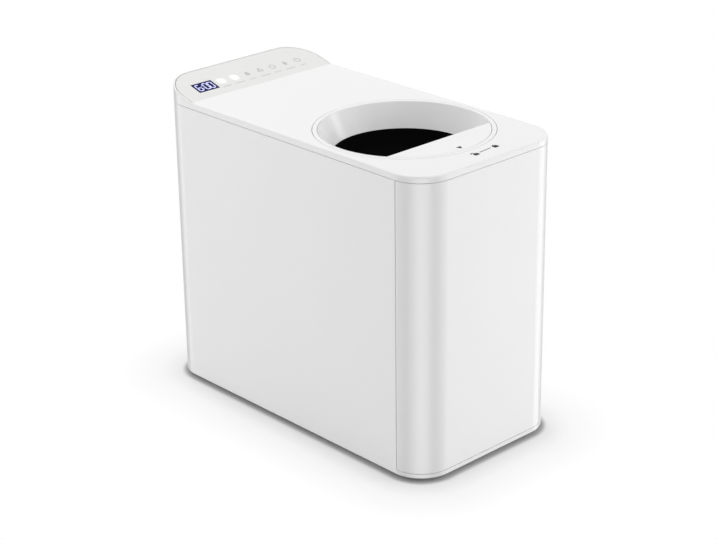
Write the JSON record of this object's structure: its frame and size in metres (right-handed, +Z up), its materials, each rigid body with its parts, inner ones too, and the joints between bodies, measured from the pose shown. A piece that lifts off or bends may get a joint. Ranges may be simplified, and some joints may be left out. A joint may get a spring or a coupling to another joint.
{
  "type": "electric food waste composter",
  "caption": "Tall narrow countertop food waste composter with a round bayonet lid, smoked window, lift-out bucket, geared agitator, heated well, touch panel and rear carbon filter drawer.",
  "frame": {"origin": "centre of the footprint, on the plane that the rubber feet stand on", "axes": "+Z up; the front faces -Y; +X is to the right seen from the front, across the narrow width; +Y runs back along the long depth"},
  "size_m": [0.2, 0.393, 0.339],
  "materials": {
    "casing_white": "satin white moulding",
    "panel_white": "satin, slightly warmer white",
    "foot_rubber": "matte",
    "print_black": "pad print",
    "display_glass": "dark lens",
    "display_light": "lit figures",
    "key_light": "lit white",
    "key_print": "pale grey print",
    "circuit_board": "solder mask",
    "black_plastic": "moulded",
    "grey_plastic": "moulded",
    "smoked_window": "glossy smoked",
    "magnet": "plated",
    "silicone": "satin",
    "well_metal": "drawn",
    "insulation": "needled felt",
    "element_steel": "heat tinted",
    "stand_metal": "zinc plated sheet",
    "bucket_coating": "dark non-stick coating",
    "wire_steel": "polished wire",
    "cast_steel": "cast",
    "shaft_steel": "ground",
    "bronze": "sintered",
    "gear_plastic": "acetal",
    "motor_metal": "rolled can",
    "carbon": "granular carbon in a net"
  },
  "bodies": {
    "cabinet": {"base_tray": "casing_white", "rubber_feet": "foot_rubber", "main_shell": "casing_white", "front_panel": "casing_white", "top_cover": "casing_white", "lock_markings": "print_black", "control_panel": "panel_white", "display_window": "display_glass", "display_digits": "display_light", "key_lights": "key_light", "key_icons": "key_print", "key_legends": "key_print", "display_board": "circuit_board", "display_module": "black_plastic", "touch_pillars": "grey_plastic", "lid_sensor": "black_plastic", "heated_well": "well_metal", "insulation_jacket": "insulation", "heater_plate": "well_metal", "heating_element": "element_steel", "shaft_seal": "silicone", "well_stand": "stand_metal", "gearbox_base": "grey_plastic", "gearbox_cover": "grey_plastic", "output_bearings": "shaft_steel", "idler_axles": "shaft_steel", "motor": "motor_metal", "exhaust_duct": "grey_plastic", "blower_housing": "black_plastic", "blower_motor": "motor_metal", "filter_housing": "grey_plastic", "power_board": "circuit_board", "power_components": "black_plastic", "mains_inlet": "black_plastic", "case_screws": "shaft_steel"},
    "lid_carrier": {"lid_seal_plate": "grey_plastic", "lid_gasket": "silicone"},
    "lid": {"lid_ring": "casing_white", "lid_dish": "casing_white", "lid_window": "smoked_window", "lid_arrow": "print_black", "lid_magnet": "magnet"},
    "bucket": {"bucket": "bucket_coating", "fixed_blades": "cast_steel", "agitator_bush": "bronze"},
    "handle": {"bucket_handle": "wire_steel"},
    "agitator": {"agitator": "cast_steel", "agitator_shaft": "shaft_steel", "agitator_nut": "cast_steel"},
    "output_drive": {"output_gear": "gear_plastic", "output_shaft": "shaft_steel"},
    "idler_a": {"idler_gear_a": "gear_plastic"},
    "idler_b": {"idler_gear_b": "gear_plastic"},
    "motor_rotor": {"motor_pinion": "bronze", "motor_shaft": "shaft_steel"},
    "fan_rotor": {"impeller": "grey_plastic"},
    "drawer": {"filter_drawer": "casing_white", "carbon_cartridge": "carbon"}
  },
  "joints": [
    {"name": "lid_lift", "type": "slide", "parent": "cabinet", "child": "lid_carrier", "axis": [0, 0, 1], "range_m": [0, 0.3]},
    {"name": "lid_turn", "type": "hinge", "parent": "lid_carrier", "child": "lid", "pos_m": [0, -0.073, 0.3], "axis": [0, 0, 1], "range_deg": [0, 16.7]},
    {"name": "bucket_lift", "type": "slide", "parent": "cabinet", "child": "bucket", "axis": [0, 0, 1], "range_m": [0, 0.15]},
    {"name": "handle_swing", "type": "hinge", "parent": "bucket", "child": "handle", "pos_m": [0, -0.073, 0.2883], "axis": [1, 0, 0], "range_deg": [0, 90]},
    {"name": "output_spin", "type": "hinge", "parent": "cabinet", "child": "output_drive", "pos_m": [0, -0.073, 0.06], "axis": [0, 0, 1], "continuous": true},
    {"name": "agitator_spin", "type": "hinge", "parent": "bucket", "child": "agitator", "pos_m": [0, -0.073, 0.11], "axis": [0, 0, 1], "continuous": true},
    {"name": "idler_a_spin", "type": "hinge", "parent": "cabinet", "child": "idler_a", "pos_m": [0, -0.02125, 0.04], "axis": [0, 0, 1], "continuous": true},
    {"name": "idler_b_spin", "type": "hinge", "parent": "cabinet", "child": "idler_b", "pos_m": [0, 0.01625, 0.048], "axis": [0, 0, 1], "continuous": true},
    {"name": "motor_spin", "type": "hinge", "parent": "cabinet", "child": "motor_rotor", "pos_m": [0, 0.04425, 0.055], "axis": [0, 0, 1], "continuous": true},
    {"name": "fan_spin", "type": "hinge", "parent": "cabinet", "child": "fan_rotor", "pos_m": [0, 0.0655, 0.245], "axis": [0, 0, 1], "continuous": true},
    {"name": "filter_drawer_slide", "type": "slide", "parent": "cabinet", "child": "drawer", "axis": [0, 1, 0], "range_m": [0, 0.078]}
  ],
  "couplings": [
    {"joint": "bucket_lift", "follows": "lid_lift", "ratio": 0.5},
    {"joint": "handle_swing", "follows": "lid_lift", "rad_per_m": 5.2359},
    {"joint": "agitator_spin", "follows": "output_spin", "ratio": 1},
    {"joint": "idler_a_spin", "follows": "output_spin", "ratio": -3.6},
    {"joint": "idler_b_spin", "follows": "output_spin", "ratio": 10.8},
    {"joint": "motor_spin", "follows": "output_spin", "ratio": -32.4}
  ]
}
